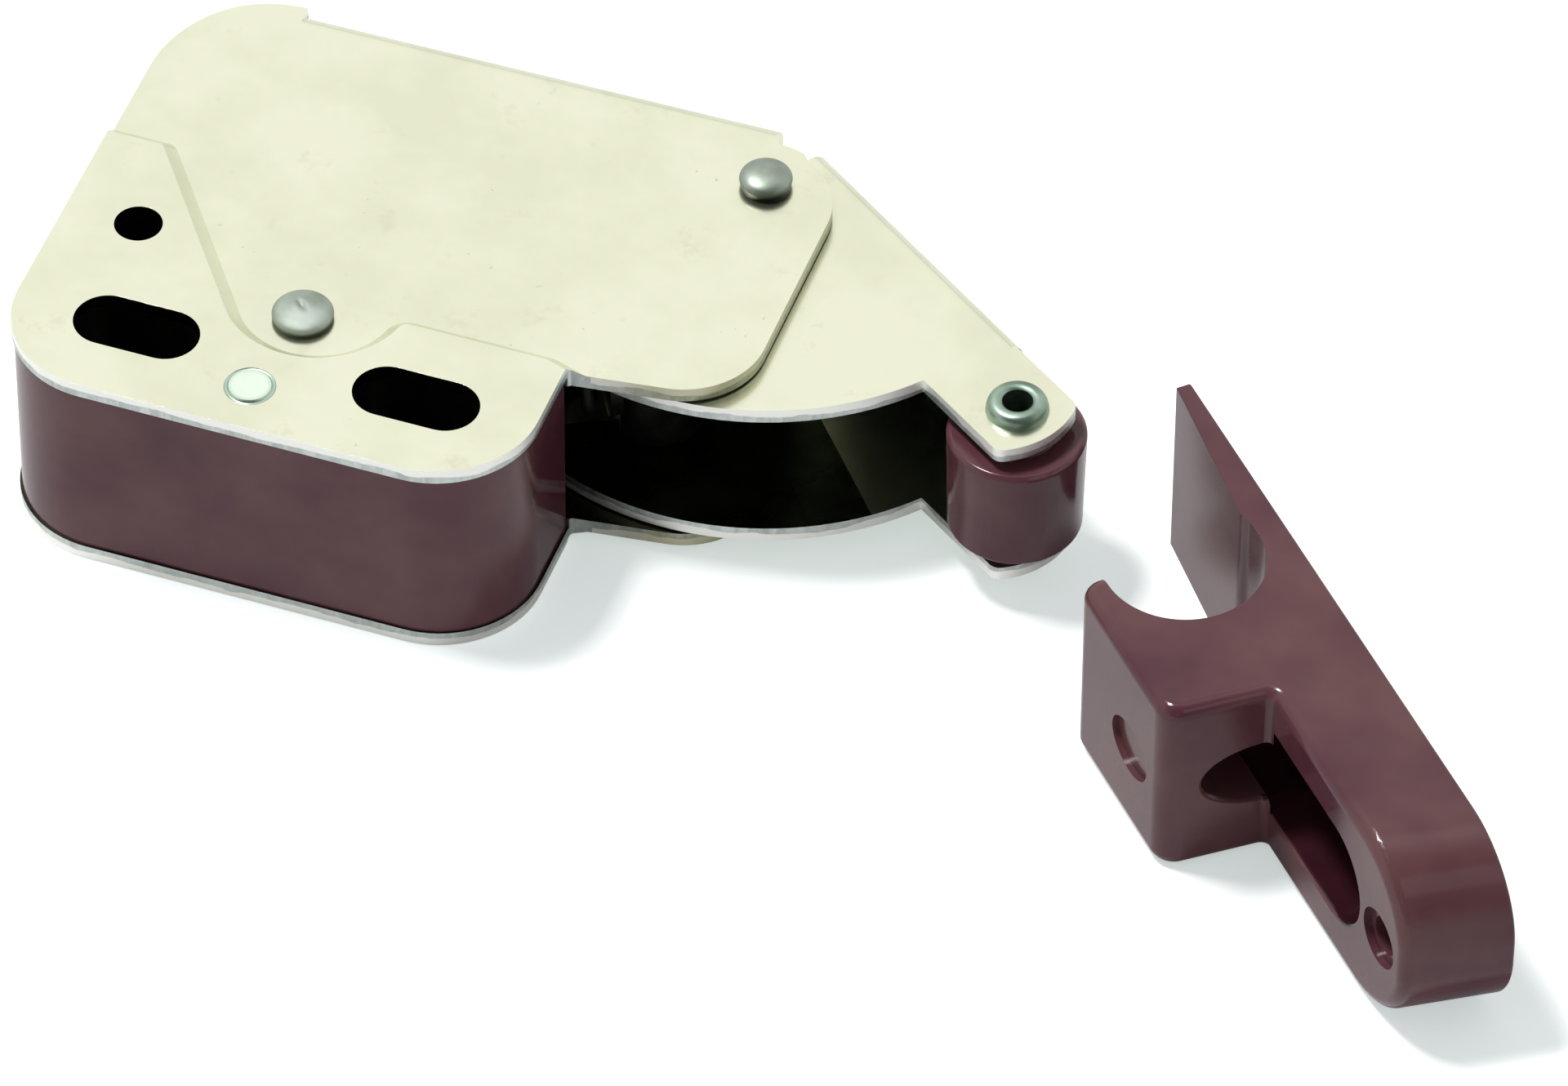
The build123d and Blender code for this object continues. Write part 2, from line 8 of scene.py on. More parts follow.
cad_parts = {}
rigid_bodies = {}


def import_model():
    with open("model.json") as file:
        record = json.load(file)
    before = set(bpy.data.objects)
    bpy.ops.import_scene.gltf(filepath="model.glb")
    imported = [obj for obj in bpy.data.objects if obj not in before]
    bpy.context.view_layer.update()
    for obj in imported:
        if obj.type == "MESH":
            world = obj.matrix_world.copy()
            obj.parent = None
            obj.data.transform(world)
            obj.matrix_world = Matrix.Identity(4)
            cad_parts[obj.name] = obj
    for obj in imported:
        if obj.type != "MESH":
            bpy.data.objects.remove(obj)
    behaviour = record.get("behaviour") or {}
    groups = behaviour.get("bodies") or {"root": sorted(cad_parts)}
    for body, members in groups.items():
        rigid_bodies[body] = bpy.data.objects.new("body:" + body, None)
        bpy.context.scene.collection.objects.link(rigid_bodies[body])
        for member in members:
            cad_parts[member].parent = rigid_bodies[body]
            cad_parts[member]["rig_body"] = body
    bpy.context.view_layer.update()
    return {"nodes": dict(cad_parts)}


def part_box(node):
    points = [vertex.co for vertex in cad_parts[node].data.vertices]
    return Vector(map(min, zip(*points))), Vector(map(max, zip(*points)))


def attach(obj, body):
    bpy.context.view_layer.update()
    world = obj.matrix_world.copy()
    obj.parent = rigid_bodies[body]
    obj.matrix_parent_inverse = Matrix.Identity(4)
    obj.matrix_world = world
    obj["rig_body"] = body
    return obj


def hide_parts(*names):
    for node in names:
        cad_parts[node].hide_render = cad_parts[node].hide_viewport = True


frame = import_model()
mm = 0.001
middleHeight = 7.5 * mm
armPivot = (34.7 * mm, 16.9 * mm)
armTurn = math.radians(-34.6)
print("frame loaded, nodes:", len(frame["nodes"]))

# Camera: the picture's point of view, found from the casing's outline. The flat rivet's top is the anchor.
cameraSettings = {
    "azimuth": 19.2,
    "elevation": 45.8,
    "roll": 0.38,
    "focalPixels": 14923.0,
    "pixelsPerMm": 20.3,
    "anchorPixel": (306.0, 473.0),
    "anchorHeight": 15.0 * mm,
    "frameWidth": 1920.0,
    "frameHeight": 1330.0,
    "sensorWidth": 36.0,
    "clipNear": 0.05,
    "clipFar": 50.0,
}


def makeCamera(settings):
    azimuth, elevation, roll = (math.radians(settings[k]) for k in ("azimuth", "elevation", "roll"))
    back = Vector((
        math.sin(azimuth) * math.cos(elevation),
        -math.cos(azimuth) * math.cos(elevation),
        math.sin(elevation),
    ))
    levelRight = Vector((math.cos(azimuth), math.sin(azimuth), 0))
    levelUp = back.cross(levelRight)
    right = math.cos(roll) * levelRight + math.sin(roll) * levelUp
    up = back.cross(right)
    rivetLow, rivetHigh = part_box("spacer_rivet")
    anchor = Vector(((rivetLow.x + rivetHigh.x) / 2, (rivetLow.y + rivetHigh.y) / 2, settings["anchorHeight"]))
    depth = settings["focalPixels"] / settings["pixelsPerMm"] * mm
    acrossPixels = settings["anchorPixel"][0] - settings["frameWidth"] / 2
    upPixels = settings["frameHeight"] / 2 - settings["anchorPixel"][1]
    across = acrossPixels / settings["focalPixels"] * depth
    raised = upPixels / settings["focalPixels"] * depth
    data = bpy.data.cameras.new("pictureCamera")
    data.sensor_width = settings["sensorWidth"]
    data.lens = settings["focalPixels"] * settings["sensorWidth"] / settings["frameWidth"]
    data.clip_start = settings["clipNear"]
    data.clip_end = settings["clipFar"]
    camera = bpy.data.objects.new("pictureCamera", data)
    bpy.context.scene.collection.objects.link(camera)
    camera.location = anchor - across * right - raised * up + depth * back
    camera.rotation_euler = Matrix((right, up, back)).transposed().to_euler()
    bpy.context.scene.camera = camera


makeCamera(cameraSettings)
bpy.context.scene.view_settings.view_transform = "Standard"
print("camera placed")


# Material helpers. Each material starts from one Principled shader, and pattern nodes hang off it.
class MaterialBench:
    def __init__(self, name):
        self.material = bpy.data.materials.new(name)
        self.material.use_nodes = True
        self.tree = self.material.node_tree
        self.shader = self.tree.nodes["Principled BSDF"]
        self.place = self.tree.nodes.new("ShaderNodeTexCoord")

    def node(self, kind, **values):
        made = self.tree.nodes.new(kind)
        for key, value in values.items():
            setattr(made, key, value)
        return made

    def link(self, source, target):
        self.tree.links.new(source, target)

    def set(self, **values):
        for key, value in values.items():
            self.shader.inputs[key.replace("_", " ")].default_value = value

    # noise in the piece's own metres, with scale in features per metre and an optional stretch
    def noise(self, scale, detail=3.0, rough=0.5, stretch=(1, 1, 1), turn=0.0):
        mapping = self.node("ShaderNodeMapping")
        mapping.inputs["Scale"].default_value = stretch
        mapping.inputs["Rotation"].default_value = (0, 0, turn)
        self.link(self.place.outputs["Object"], mapping.inputs["Vector"])
        texture = self.node("ShaderNodeTexNoise")
        texture.inputs["Scale"].default_value = scale
        texture.inputs["Detail"].default_value = detail
        texture.inputs["Roughness"].default_value = rough
        self.link(mapping.outputs["Vector"], texture.inputs["Vector"])
        return texture.outputs["Fac"]

    def ramp(self, source, stops):
        made = self.node("ShaderNodeValToRGB")
        elements = made.color_ramp.elements
        while len(elements) < len(stops):
            elements.new(0.5)
        for element, (spot, color) in zip(elements, stops):
            element.position = spot
            element.color = (*color, 1.0)
        self.link(source, made.inputs["Fac"])
        return made.outputs["Color"]

    def span(self, source, low, high, fromLow=0.0, fromHigh=1.0):
        made = self.node("ShaderNodeMapRange")
        for key, value in (("From Min", fromLow), ("From Max", fromHigh), ("To Min", low), ("To Max", high)):
            made.inputs[key].default_value = value
        self.link(source, made.inputs["Value"])
        return made.outputs["Result"]

    def blend(self, factor, first, second, mode="MIX"):
        made = self.node("ShaderNodeMix", data_type="RGBA", blend_type=mode)
        for key, value in (("Factor_Float", factor), ("A_Color", first), ("B_Color", second)):
            socket = next(s for s in made.inputs if s.identifier == key)
            if isinstance(value, (int, float)):
                socket.default_value = value
            elif isinstance(value, tuple):
                socket.default_value = (*value, 1.0)
            else:
                self.link(value, socket)
        return next(s for s in made.outputs if s.identifier == "Result_Color")

    def reckon(self, operation, *values):
        made = self.node("ShaderNodeMath", operation=operation)
        for socket, value in zip(made.inputs, values):
            if isinstance(value, (int, float)):
                socket.default_value = value
            else:
                self.link(value, socket)
        return made.outputs["Value"]

    def multiply(self, first, second):
        return self.reckon("MULTIPLY", first, second)

    def bump(self, height, distance, strength=1.0, after=None):
        made = self.node("ShaderNodeBump")
        made.inputs["Distance"].default_value = distance
        made.inputs["Strength"].default_value = strength
        self.link(height, made.inputs["Height"])
        if after is not None:
            self.link(after, made.inputs["Normal"])
        return made.outputs["Normal"]


# Plated sheet: a warm pale metal with soft blotches and stains, a very faint rolling grain and fields of dull specks
platedSteelLook = {
    "pale": (0.865, 0.875, 0.70),
    "deep": (0.80, 0.81, 0.63),
    "stain": (0.71, 0.68, 0.52),
    "speck": (0.62, 0.60, 0.46),
    "blotchScale": 110.0,
    "stainScale": 260.0,
    "grainScale": 900.0,
    "speckScale": 1700.0,
    "speckFieldScale": 170.0,
    "grainStretch": (0.35, 1.0, 1.0),
    "roughLow": 0.215,
    "roughHigh": 0.24,
}


def platedSteel(name, look, grainTurn):
    bench = MaterialBench(name)
    blotches = bench.noise(look["blotchScale"], detail=4.0, rough=0.6)
    tone = bench.ramp(blotches, ((0.36, look["deep"]), (0.58, look["pale"])))
    stains = bench.noise(look["stainScale"], detail=5.0, rough=0.7)
    stained = bench.blend(bench.span(stains, 0.0, 0.5, 0.60, 0.74), tone, look["stain"])
    specks = bench.ramp(
        bench.noise(look["speckScale"], detail=1.0, rough=0.4),
        ((0.73, (0, 0, 0)), (0.77, (1, 1, 1))),
    )
    fields = bench.ramp(bench.noise(look["speckFieldScale"], detail=2.0), ((0.58, (0, 0, 0)), (0.66, (1, 1, 1))))
    mask = bench.multiply(specks, fields)
    bench.link(bench.blend(mask, stained, look["speck"]), bench.shader.inputs["Base Color"])
    grain = bench.noise(look["grainScale"], detail=5.0, rough=0.6, stretch=look["grainStretch"], turn=grainTurn)
    bench.link(bench.span(grain, look["roughLow"], look["roughHigh"], 0.3, 0.7), bench.shader.inputs["Roughness"])
    bench.set(Metallic=1.0)
    return bench.material


# Sheared edge of the sheet: the punch's bright burnished band by the cheek's outer face and, past an uneven
# line, the dull blue-grey torn band. The band's level is the distance from the catch's middle height, less
# the joggle's step for the places behind the joggle line, whose y is its slope times x plus its offset, in
# metres. Between two places along the catch, where the edge faces sideways, both bands turn khaki: a painted
# reflection of the arm's surface
shearedEdgeLook = {
    "bright": (0.99, 1.00, 0.96),
    "dull": (0.66, 0.72, 0.70),
    # painted reflection of the arm's khaki surface, multiplied into the edge where it faces sideways
    "armReflection": (0.62, 0.60, 0.47),
    "tornRough": 0.45,
    "brightRough": 0.55,
    "lineWander": 0.00045,
    "lineScale": 330.0,
    "lineSoftness": 0.00004,
    "tearScale": 1500.0,
    "tearStretch": (1, 1, 0.35),
    "tearDepth": 0.00003,
    "tearShade": 0.7,
}
casingShearBands = {
    "lineLevel": 6.95 * mm,
    "stepLine": (-0.294, 6.5 * mm),
    "step": 0.75 * mm,
    # the places along x where the painted reflection of the arm fades in
    "armReflectionFrom": (30.0 * mm, 34.0 * mm),
}
armShearBands = {"lineLevel": 5.05 * mm}


def shearedEdge(name, look, lineLevel, stepLine=None, step=0.0, armReflectionFrom=None):
    bench = MaterialBench(name)
    parts = bench.node("ShaderNodeSeparateXYZ")
    bench.link(bench.place.outputs["Object"], parts.inputs["Vector"])
    height = bench.reckon("ABSOLUTE", bench.reckon("SUBTRACT", parts.outputs["Z"], middleHeight))
    if stepLine is not None:
        slope, offset = stepLine
        lineY = bench.reckon("MULTIPLY_ADD", parts.outputs["X"], slope, offset)
        behind = bench.reckon("GREATER_THAN", parts.outputs["Y"], lineY)
        height = bench.reckon("MULTIPLY_ADD", behind, step, height)
    wander = bench.span(bench.noise(look["lineScale"], detail=3.0), -look["lineWander"], look["lineWander"])
    past = bench.reckon("SUBTRACT", bench.reckon("ADD", height, wander), lineLevel)
    burnished = bench.span(past, 0.0, 1.0, -look["lineSoftness"], look["lineSoftness"])
    tear = bench.noise(look["tearScale"], detail=4.0, rough=0.7, stretch=look["tearStretch"])
    dull = bench.ramp(tear, ((0.35, tuple(look["tearShade"] * c for c in look["dull"])), (0.65, look["dull"])))
    bands = bench.blend(burnished, dull, look["bright"])
    # painted reflection: the edge is tinted by the arm's khaki surface where it faces sideways
    if armReflectionFrom is not None:
        armReflectionShare = bench.span(parts.outputs["X"], 0.0, 1.0, *armReflectionFrom)
        bands = bench.blend(armReflectionShare, bands, look["armReflection"], mode="MULTIPLY")
    bench.link(bands, bench.shader.inputs["Base Color"])
    bench.link(bench.span(burnished, look["tornRough"], look["brightRough"]), bench.shader.inputs["Roughness"])
    torn = bench.multiply(tear, bench.span(burnished, 1.0, 0.1))
    bench.link(bench.bump(torn, look["tearDepth"]), bench.shader.inputs["Normal"])
    bench.set(Metallic=1.0)
    return bench.material


# Rivet metal: turned and hammered steel. Each rivet has its own pale and deep tint, a third, dark one for
# painted shade where a piece's own shade attribute is set, and its least and greatest roughness
rivetSteelLook = {
    "smudgeScale": 420.0,
    "pitScale": 4200.0,
    "pitDepth": 0.000006,
    "pitStrength": 0.5,
}
rivetTints = {
    # the third tint of each rivet is the colour of its painted shade
    "flatRivetMetal": ((0.84, 0.96, 0.84), (0.72, 0.82, 0.71), (0.48, 0.60, 0.51), (0.24, 0.36)),
    "strutPinMetal": ((0.40, 0.44, 0.40), (0.28, 0.33, 0.28), (0.06, 0.07, 0.05), (0.58, 0.68)),
    "armPinMetal": ((0.34, 0.38, 0.34), (0.22, 0.27, 0.21), (0.016, 0.018, 0.012), (0.40, 0.50)),
    "axleMetal": ((0.33, 0.43, 0.36), (0.17, 0.24, 0.19), (0.04, 0.055, 0.045), (0.32, 0.45)),
}


def rivetSteel(name, look, tints):
    pale, deep, paintedShade, (roughLow, roughHigh) = tints
    bench = MaterialBench(name)
    smudge = bench.noise(look["smudgeScale"], detail=3.0, rough=0.5)
    metal = bench.ramp(smudge, ((0.34, deep), (0.60, pale)))
    # painted shade: the dark tint where the piece's shade attribute is set
    shade = bench.node("ShaderNodeAttribute", attribute_name="paintedShade").outputs["Fac"]
    bench.link(bench.blend(shade, metal, paintedShade), bench.shader.inputs["Base Color"])
    bench.link(bench.span(smudge, roughHigh, roughLow, 0.3, 0.7), bench.shader.inputs["Roughness"])
    pits = bench.noise(look["pitScale"], detail=2.0)
    bench.link(bench.bump(pits, look["pitDepth"], look["pitStrength"]), bench.shader.inputs["Normal"])
    bench.set(Metallic=1.0)
    return bench.material


# Brown moulded plastic: glossy, with a faint cloudiness of tone whose paler olive patches are partly painted
# reflection, slow sink waves and a very slight orange peel. The walls of the striker's slot are a darker copy
# of it, which is painted shade
brownPlasticLook = {
    "deep": (0.084, 0.024, 0.038),
    "pale": (0.128, 0.054, 0.058),
    "cloudScale": 130.0,
    "waveScale": 75.0,
    "waveDepth": 0.00015,
    "peelScale": 500.0,
    "peelDepth": 0.00001,
    "peelStrength": 0.35,
    "roughLow": 0.12,
    "roughHigh": 0.20,
    "bending": 1.39,
}
# painted shade: the darker copy of the brown plastic for the striker's slot walls
shadedPlasticLook = {**brownPlasticLook, "deep": (0.026, 0.006, 0.010), "pale": (0.044, 0.011, 0.017)}


def brownPlastic(name, look):
    bench = MaterialBench(name)
    # cloudy tone: random, and in its paler olive patches partly a painted reflection
    cloud = bench.noise(look["cloudScale"], detail=3.0)
    bench.link(bench.ramp(cloud, ((0.35, look["deep"]), (0.65, look["pale"]))), bench.shader.inputs["Base Color"])
    bench.link(bench.span(cloud, look["roughLow"], look["roughHigh"], 0.3, 0.7), bench.shader.inputs["Roughness"])
    waves = bench.bump(bench.noise(look["waveScale"], detail=1.0), look["waveDepth"])
    peel = bench.noise(look["peelScale"], detail=2.0)
    bench.link(bench.bump(peel, look["peelDepth"], look["peelStrength"], after=waves), bench.shader.inputs["Normal"])
    bench.set(IOR=look["bending"])
    return bench.material


# Dark steel of the hidden mechanism, nearly black partly as its own colour and partly as painted shade; the
# painted shade of the inside of the folded sheets; and the painted shade in the spacer's screw holes
darkSteelLook = {
    "deep": (0.014, 0.015, 0.013),
    "pale": (0.036, 0.037, 0.034),
    "filmScale": 500.0,
    "roughLow": 0.48,
    "roughHigh": 0.62,
}
# painted shade: a dark olive metal for the inside of the folded sheets and the walls of the casing's holes
insideShadeLook = {
    "deep": (0.045, 0.052, 0.036),
    "pale": (0.09, 0.105, 0.072),
    "filmScale": 240.0,
    "roughLow": 0.22,
    "roughHigh": 0.34,
}
# painted shade: a near-black for the walls of the spacer's screw holes
holeShadeLook = {
    "deep": (0.016, 0.013, 0.012),
    "pale": (0.030, 0.024, 0.022),
    "filmScale": 500.0,
    "roughLow": 0.45,
    "roughHigh": 0.60,
}


def darkSteel(name, look):
    bench = MaterialBench(name)
    film = bench.noise(look["filmScale"], detail=4.0)
    bench.link(bench.ramp(film, ((0.35, look["deep"]), (0.65, look["pale"]))), bench.shader.inputs["Base Color"])
    bench.link(bench.span(film, look["roughLow"], look["roughHigh"], 0.3, 0.7), bench.shader.inputs["Roughness"])
    bench.set(Metallic=1.0)
    return bench.material


casingMetal = platedSteel("casingMetal", platedSteelLook, 0.0)
armMetal = platedSteel("armMetal", platedSteelLook, -armTurn)
casingShear = shearedEdge("casingShear", shearedEdgeLook, **casingShearBands)
armShear = shearedEdge("armShear", shearedEdgeLook, **armShearBands)
rivetMetals = {name: rivetSteel(name, rivetSteelLook, tints) for name, tints in rivetTints.items()}
brownMoulding = brownPlastic("brownMoulding", brownPlasticLook)
holeShadeMoulding = darkSteel("holeShadeMoulding", holeShadeLook)
shadedMoulding = brownPlastic("shadedMoulding", shadedPlasticLook)
darkMetal = darkSteel("darkMetal", darkSteelLook)
insideShadeMetal = darkSteel("insideShadeMetal", insideShadeLook)
print("materials made")


# The values of a mesh's places, faces or corners as one array, with a row for each where they are wide
def readValues(parts, key, width=1, kind=float):
    values = np.zeros(len(parts) * width, dtype=kind)
    parts.foreach_get(key, values)
    return values.reshape(-1, width) if width > 1 else values


# A folded sheet's sides. Its cut edges are the upright faces whose whole height lies in a cheek's thickness,
# and its inside is every face that stays within the channel: no farther from the middle height than the
# cheeks' inner faces, and no farther along the back's direction than the web's inner face. The inside gets a
# dark material of painted shade. The upper cheek's underside is left plated, as it shows along the edge that
# slides over the arm
def markSides(data, sides):
    tilt = readValues(data.polygons, "normal", 3)[:, 2]
    starts = readValues(data.polygons, "loop_start", kind=int)
    corners = readValues(data.loops, "vertex_index", kind=int)
    places = readValues(data.vertices, "co", 3)[corners]
    levels = np.abs(places[:, 2] - middleHeight)
    backward = places @ np.array((*sides["backDirection"], 0.0))
    lowest = np.minimum.reduceat(levels, starts)
    highest = np.maximum.reduceat(levels, starts)
    farthest = np.maximum.reduceat(backward, starts)
    underside = (tilt < -0.9) & (np.minimum.reduceat(places[:, 2], starts) > middleHeight)
    slack = 0.02 * mm
    cut = (np.abs(tilt) < 0.1) & (lowest > sides["cutLevel"])
    inside = (highest < sides["insideLevel"] + slack) & (farthest < sides["webInside"] + slack) & ~cut & ~underside
    data.polygons.foreach_set("material_index", np.where(cut, 1, np.where(inside, 2, 0)).astype(np.int32))


# Which places lie within a box, which has a middle, the direction of its length in the ground plane, and its
# half sizes along that, across it and upwards
def insideBox(places, box):
    middle, turn, reach = box
    away = places - np.array(middle)
    along = away[:, 0] * math.cos(turn) + away[:, 1] * math.sin(turn)
    across = away[:, 1] * math.cos(turn) - away[:, 0] * math.sin(turn)
    return (np.abs(along) < reach[0]) & (np.abs(across) < reach[1]) & (np.abs(away[:, 2]) < reach[2])


# The walls of a hole get the given material of painted shade: each face whose corners all lie within the hole's box
def markHoles(data, boxes, materialIndex):
    starts = readValues(data.polygons, "loop_start", kind=int)
    corners = readValues(data.loops, "vertex_index", kind=int)
    places = readValues(data.vertices, "co", 3)
    held = readValues(data.polygons, "material_index", kind=np.int32)
    for box in boxes:
        within = insideBox(places, box)[corners]
        held[np.logical_and.reduceat(within, starts)] = materialIndex
    data.polygons.foreach_set("material_index", held)


# The fold of a sheet stands farther out than the bare edge beside it: every place behind the fold's start
# is moved backwards, by a step that grows evenly from the web's near end to its far end, and by another at the
# cheeks' free edge past that end. The round corner before the web is stretched to meet it
def moveFold(data, fold):
    places = readValues(data.vertices, "co", 3)
    back = np.array((-math.sin(fold["turn"]), math.cos(fold["turn"])))
    right = np.array((math.cos(fold["turn"]), math.sin(fold["turn"])))
    away = places[:, :2] - np.array(fold["origin"])
    depth, reach = away @ back, away @ right
    cheek = np.abs(places[:, 2] - middleHeight) > fold["cheekLevel"]
    corner = (reach > fold["webEnd"] - 0.04 * mm) & (depth > fold["edge"])
    webStep = np.interp(reach, (fold["webStart"], fold["webEnd"]), fold["webSteps"])
    step = np.where(cheek & ((reach > fold["webEnd"]) | corner), fold["edgeStep"], webStep)
    step = np.where(depth > fold["start"], step, 0.0)
    share = np.clip((depth - fold["cornerStart"]) / (fold["start"] - fold["cornerStart"]), 0.0, 1.0)
    step = np.where(reach < fold["webStart"], webStep * share, step)
    places[:, :2] += step[:, None] * back
    data.vertices.foreach_set("co", places.ravel())
    data.update()


# The shading direction of each face's corner: the sum of the directions of the faces at that place that turn
# less than the limit away from this face, each by its area. Flats stay flat and rounded edges run smoothly
def evenCorners(data, limit):
    normals = readValues(data.polygons, "normal", 3)
    areas = readValues(data.polygons, "area")
    sizes = readValues(data.polygons, "loop_total", kind=int)
    spot = readValues(data.loops, "vertex_index", kind=int)
    owner = np.repeat(np.arange(len(data.polygons)), sizes)
    order = np.argsort(spot, kind="stable")
    meeting = np.bincount(spot, minlength=len(data.vertices))
    begins = np.cumsum(meeting) - meeting
    shared = meeting[spot]
    blocks = np.cumsum(shared) - shared
    within = np.arange(shared.sum()) - np.repeat(blocks, shared)
    other = owner[order[np.repeat(begins[spot], shared) + within]]
    own = np.repeat(owner, shared)
    near = (normals[own] * normals[other]).sum(axis=1) > math.cos(math.radians(limit))
    summed = np.add.reduceat(normals[other] * (areas[other] * near)[:, None], blocks, axis=0)
    length = np.linalg.norm(summed, axis=1, keepdims=True)
    summed = np.where(length > 0.0, summed / np.maximum(length, 1e-30), normals[owner])
    data.normals_split_custom_set(summed.tolist())


# A copy of a node, welded into one skin, its flats joined and its sharp edges rounded by a bevel. The rims of
# the holes are rounded by their own width, and the edges within a crisp box stay sharp. Angles are in degrees
rounding = {
    "weld": 0.002 * mm,
    "flatAngle": 0.4,
    "sharpAngle": 32.0,
    "evenAngle": 40.0,
    "segments": 4,
}


def softenedCopy(
    node, name, material, width, sheetSides=None, fold=None, holes=(), holeShadeMaterial=None, rimWidth=None, crisp=()
):
    source = frame["nodes"][node]
    data = source.data.copy()
    data.name = name
    welded = bmesh.new()
    welded.from_mesh(data)
    bmesh.ops.remove_doubles(welded, verts=welded.verts, dist=rounding["weld"])
    flatAngle = math.radians(rounding["flatAngle"])
    bmesh.ops.dissolve_limit(welded, angle_limit=flatAngle, verts=welded.verts, edges=welded.edges, delimit=set())
    rimWidth = rimWidth or width
    weights = welded.edges.layers.float.new("bevel_weight_edge")
    for edge in welded.edges:
        if edge.calc_face_angle(0.0) > math.radians(rounding["sharpAngle"]):
            ends = np.array([corner.co for corner in edge.verts])
            if not any(insideBox(ends, box).all() for box in crisp):
                rim = any(insideBox(ends, box).all() for box in holes)
                edge[weights] = 1.0 if rim else width / rimWidth
    welded.to_mesh(data)
    welded.free()
    piece = bpy.data.objects.new(name, data)
    bpy.context.scene.collection.objects.link(piece)
    data.materials.clear()
    data.materials.append(material)
    if sheetSides is not None:
        data.materials.append(sheetSides["cutMaterial"])
        data.materials.append(sheetSides["insideMaterial"])
        markSides(data, sheetSides)
    elif holes:
        data.materials.append(holeShadeMaterial)
    markHoles(data, holes, 2 if sheetSides is not None else 1)
    if fold is not None:
        moveFold(data, fold)
    data.polygons.foreach_set("use_smooth", np.ones(len(data.polygons), dtype=bool))
    bevel = piece.modifiers.new("edgeRound", "BEVEL")
    bevel.width = rimWidth
    bevel.segments = rounding["segments"]
    bevel.limit_method = "WEIGHT"
    bevel.miter_outer = "MITER_ARC"
    bevel.use_clamp_overlap = True
    rounded = bpy.data.meshes.new_from_object(piece.evaluated_get(bpy.context.evaluated_depsgraph_get()))
    piece.modifiers.clear()
    piece.data = rounded
    bpy.data.meshes.remove(data)
    rounded.name = name
    evenCorners(rounded, rounding["evenAngle"])
    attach(piece, source["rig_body"])
    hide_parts(node)
    return piece


casingSides = {
    "cutLevel": 5.7 * mm,
    "insideLevel": 6.5 * mm,
    "backDirection": (0.0, 1.0),
    "webInside": 20.3 * mm,
    "cutMaterial": casingShear,
    "insideMaterial": insideShadeMetal,
}
armBack = Vector((math.sin(-armTurn), math.cos(armTurn)))
armSides = {
    "cutLevel": 4.5 * mm,
    "insideLevel": 4.6 * mm,
    "backDirection": tuple(armBack),
    "webInside": armBack.dot(Vector(armPivot)) + 3.8 * mm,
    "cutMaterial": armShear,
    "insideMaterial": insideShadeMetal,
}
casingFold = {
    "origin": (0.0, 0.0), "turn": 0.0, "start": 19.79 * mm, "edge": 25.0 * mm, "cornerStart": 13.0 * mm,
    "webStart": 2.58 * mm, "webEnd": 33.92 * mm, "cheekLevel": 5.5 * mm,
    "webSteps": (0.84 * mm, 1.17 * mm), "edgeStep": 0.40 * mm,
}
armFold = {
    "origin": armPivot, "turn": armTurn, "start": 3.59 * mm, "edge": 4.79 * mm, "cornerStart": 3.58 * mm,
    "webStart": -1.26 * mm, "webEnd": 19.27 * mm, "cheekLevel": 4.5 * mm,
    "webSteps": (0.71 * mm, 0.60 * mm), "edgeStep": 0.0,
}
# The screw hole and slots of the casing and spacer. Their walls get painted shade, and the casing's rims a wider
# rounding
screwSlotHalf = (4.1 * mm, 2.2 * mm, 9.0 * mm)
screwHoles = (
    ((0.0, 0.0, middleHeight), 0.0, (1.6 * mm, 1.6 * mm, 9.0 * mm)),
    ((3.2 * mm, -8.4 * mm, middleHeight), 0.0, screwSlotHalf),
    ((21.3 * mm, -8.4 * mm, middleHeight), 0.0, screwSlotHalf),
)
strikerTurn = math.radians(133.7)
strikerMiddle = 6.75 * mm
slotMiddle = (81.79 * mm, -12.92 * mm, strikerMiddle)
markMiddle = (68.52 * mm, -13.57 * mm, strikerMiddle)
pegMiddle = (87.21 * mm, -23.51 * mm, strikerMiddle)
strikerSlot = ((slotMiddle, strikerTurn, (8.85 * mm, 3.7 * mm, 3.45 * mm)),)
strikerCrisp = (
    (slotMiddle, strikerTurn, (9.4 * mm, 4.1 * mm, 3.9 * mm)),
    (markMiddle, strikerTurn, (2.7 * mm, 0.9 * mm, 2.5 * mm)),
    (pegMiddle, strikerTurn, (2.2 * mm, 1.0 * mm, 2.2 * mm)),
)
softened = {
    "casing": {
        "name": "casingSheet", "material": casingMetal, "width": 0.26 * mm,
        "sheetSides": casingSides, "fold": casingFold, "holes": screwHoles, "rimWidth": 0.48 * mm,
    },
    "arm": {
        "name": "armChannel", "material": armMetal, "width": 0.26 * mm,
        "sheetSides": armSides, "fold": armFold,
    },
    "spacer": {
        "name": "spacerBlock", "material": brownMoulding, "width": 0.18 * mm,
        "holes": screwHoles, "holeShadeMaterial": holeShadeMoulding,
    },
    "striker": {
        "name": "strikerMoulding", "material": brownMoulding, "width": 0.16 * mm,
        "holes": strikerSlot, "holeShadeMaterial": shadedMoulding, "crisp": strikerCrisp,
    },
    "roller": {"name": "rollerBody", "material": brownMoulding, "width": 0.10 * mm},
}
for node, values in softened.items():
    softenedCopy(node, **values)
print("sheet and moulded pieces rounded")


